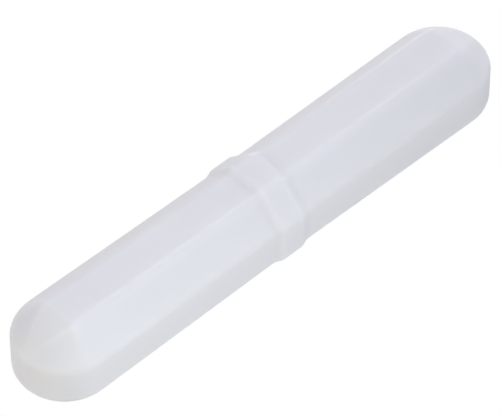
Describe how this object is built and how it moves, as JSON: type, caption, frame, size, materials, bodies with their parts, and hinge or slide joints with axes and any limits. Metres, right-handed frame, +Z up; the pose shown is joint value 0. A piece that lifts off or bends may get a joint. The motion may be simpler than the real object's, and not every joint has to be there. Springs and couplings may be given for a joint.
{
  "type": "magnetic stir bar",
  "caption": "White octagonal stir bar with domed ends, a slight waist and a moulded-on pivot ring, with a rod magnet sealed inside.",
  "frame": {"origin": "on the bench under the middle of the pivot ring", "axes": "+X along the bar, +Y across it, +Z up"},
  "size_m": [0.0762, 0.0134, 0.0134],
  "materials": {
    "jacket": "satin moulded PTFE, slightly translucent",
    "magnet": "ground cast magnet alloy"
  },
  "bodies": {
    "root": {"jacket": "jacket", "magnet": "magnet"}
  },
  "joints": []
}
